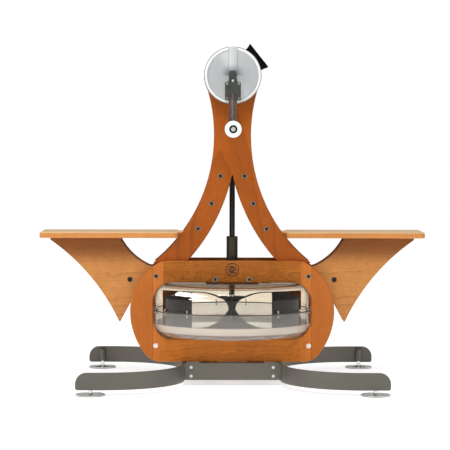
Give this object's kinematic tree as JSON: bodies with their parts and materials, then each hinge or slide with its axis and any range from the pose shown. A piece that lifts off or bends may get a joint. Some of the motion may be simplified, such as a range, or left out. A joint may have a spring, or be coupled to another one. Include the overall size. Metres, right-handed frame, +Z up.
{
  "type": "hand-crank water-resistance trainer",
  "caption": "Free-standing wooden hand-crank trainer with a water tank and paddle for resistance, a crank drum on a wishbone post and a hang-on seat on each side.",
  "frame": {"origin": "on the floor under the middle of the machine", "axes": "+Z up, +X towards the right-hand seat, +Y from the front to the rear along the crank axle"},
  "size_m": [1.308, 0.892, 1.1558],
  "materials": {
    "frame_wood": "satin oiled cherry",
    "wishbone_wood": "satin oiled cherry",
    "seat_wood": "satin oiled cherry",
    "deck_wood": "plywood",
    "base_steel": "satin metallic grey",
    "bracket_steel": "brushed",
    "bright_steel": "bright",
    "black_screw": "black oxide",
    "cup_steel": "satin",
    "cap_cream": "gloss",
    "tank_clear": "clear, slightly smoked",
    "seal_rubber": "matt",
    "bearing_bronze": "machined",
    "shaft_steel": "dark satin",
    "gear_steel": "machined",
    "paddle_dark": "matt",
    "casing_alloy": "satin",
    "beam_brown": "satin brown",
    "drum_rim": "gloss",
    "drum_disc": "brushed",
    "crank_steel": "dark brushed",
    "arm_steel": "brushed",
    "grip_white": "gloss",
    "console_black": "matt",
    "console_glass": "gloss",
    "button_rubber": "matt",
    "foot_chrome": "polished"
  },
  "bodies": {
    "frame": {"frame_left_stiles": "frame_wood", "frame_right_stiles": "frame_wood", "frame_top_rails": "frame_wood", "frame_bottom_rails": "frame_wood", "wishbone_front": "wishbone_wood", "wishbone_rear": "wishbone_wood", "cross_rods": "bright_steel", "frame_screws": "black_screw", "screw_cups": "cup_steel", "bolt_caps": "cap_cream", "tank_lower_shell": "tank_clear", "tank_upper_shell": "tank_clear", "tank_gasket": "seal_rubber", "tank_flange_screws": "bright_steel", "tank_bearings": "bearing_bronze", "tank_top_beam": "beam_brown", "tank_cradle": "deck_wood", "tank_pads": "seal_rubber", "base_leg_left": "base_steel", "base_leg_right": "base_steel", "base_bars": "base_steel", "base_brackets": "bracket_steel", "base_cross_plates": "base_steel", "base_bolts": "bright_steel", "gearbox_casing": "casing_alloy", "gearbox_bearings": "bearing_bronze", "drum_rings": "drum_rim", "drum_discs": "drum_disc", "console_housing": "console_black", "console_screen": "console_glass", "console_bracket": "bracket_steel"},
    "crank": {"crank_axle": "gear_steel", "bevel_gear": "gear_steel", "crank_clamps": "crank_steel", "clamp_bolts": "bright_steel"},
    "front_arm": {"crank_arm_front": "arm_steel"},
    "rear_arm": {"crank_arm_rear": "arm_steel"},
    "front_handle": {"handle_grip_front": "grip_white"},
    "rear_handle": {"handle_grip_rear": "grip_white"},
    "rotor": {"drive_shaft": "shaft_steel", "bevel_pinion": "gear_steel", "shaft_coupling": "shaft_steel", "paddle_hub": "paddle_dark", "paddle_blades": "paddle_dark"},
    "fill_plug": {"fill_plug": "paddle_dark"},
    "button_left": {"console_button_left": "button_rubber"},
    "button_middle": {"console_button_middle": "button_rubber"},
    "button_right": {"console_button_right": "button_rubber"},
    "left_seat": {"left_seat_board": "seat_wood", "left_seat_cheeks": "seat_wood", "left_seat_tie": "black_screw", "left_seat_hook": "bracket_steel"},
    "front_left_foot": {"foot_front_left": "foot_chrome"},
    "rear_left_foot": {"foot_rear_left": "foot_chrome"},
    "right_seat": {"right_seat_board": "seat_wood", "right_seat_cheeks": "seat_wood", "right_seat_tie": "black_screw", "right_seat_hook": "bracket_steel"},
    "front_right_foot": {"foot_front_right": "foot_chrome"},
    "rear_right_foot": {"foot_rear_right": "foot_chrome"}
  },
  "joints": [
    {"name": "crank_spin", "type": "hinge", "parent": "frame", "child": "crank", "pos_m": [0, 0, 1.048], "axis": [0, 1, 0], "continuous": true},
    {"name": "shaft_spin", "type": "hinge", "parent": "frame", "child": "rotor", "pos_m": [0, 0, 0.6], "axis": [0, 0, 1], "continuous": true},
    {"name": "front_arm_slide", "type": "slide", "parent": "crank", "child": "front_arm", "axis": [0, 0, 1], "range_m": [0, 0.06]},
    {"name": "rear_arm_slide", "type": "slide", "parent": "crank", "child": "rear_arm", "axis": [0, 0, 1], "range_m": [0, 0.06]},
    {"name": "front_handle_spin", "type": "hinge", "parent": "front_arm", "child": "front_handle", "pos_m": [0, -0.22, 0.867], "axis": [0, 1, 0], "continuous": true},
    {"name": "rear_handle_spin", "type": "hinge", "parent": "rear_arm", "child": "rear_handle", "pos_m": [0, 0.22, 0.867], "axis": [0, 1, 0], "continuous": true},
    {"name": "plug_pull", "type": "slide", "parent": "frame", "child": "fill_plug", "axis": [0, 0, 1], "range_m": [0, 0.03]},
    {"name": "left_seat_height", "type": "slide", "parent": "frame", "child": "left_seat", "axis": [0.3879, 0, 0.9217], "range_m": [0, 0.1946]},
    {"name": "front_left_foot_level", "type": "slide", "parent": "frame", "child": "front_left_foot", "axis": [0, 0, -1], "range_m": [-0.003, 0.012]},
    {"name": "rear_left_foot_level", "type": "slide", "parent": "frame", "child": "rear_left_foot", "axis": [0, 0, -1], "range_m": [-0.003, 0.012]},
    {"name": "right_seat_height", "type": "slide", "parent": "frame", "child": "right_seat", "axis": [-0.3879, 0, 0.9217], "range_m": [0, 0.1946]},
    {"name": "front_right_foot_level", "type": "slide", "parent": "frame", "child": "front_right_foot", "axis": [0, 0, -1], "range_m": [-0.003, 0.012]},
    {"name": "rear_right_foot_level", "type": "slide", "parent": "frame", "child": "rear_right_foot", "axis": [0, 0, -1], "range_m": [-0.003, 0.012]},
    {"name": "button_left_press", "type": "slide", "parent": "frame", "child": "button_left", "axis": [-0.7826, 0, -0.6225], "range_m": [0, 0.0012], "stiffness_N_per_m": 500, "springref_m": -0.002},
    {"name": "button_middle_press", "type": "slide", "parent": "frame", "child": "button_middle", "axis": [-0.7826, 0, -0.6225], "range_m": [0, 0.0012], "stiffness_N_per_m": 500, "springref_m": -0.002},
    {"name": "button_right_press", "type": "slide", "parent": "frame", "child": "button_right", "axis": [-0.7826, 0, -0.6225], "range_m": [0, 0.0012], "stiffness_N_per_m": 500, "springref_m": -0.002}
  ],
  "couplings": [
    {"joint": "shaft_spin", "follows": "crank_spin", "ratio": 3}
  ]
}
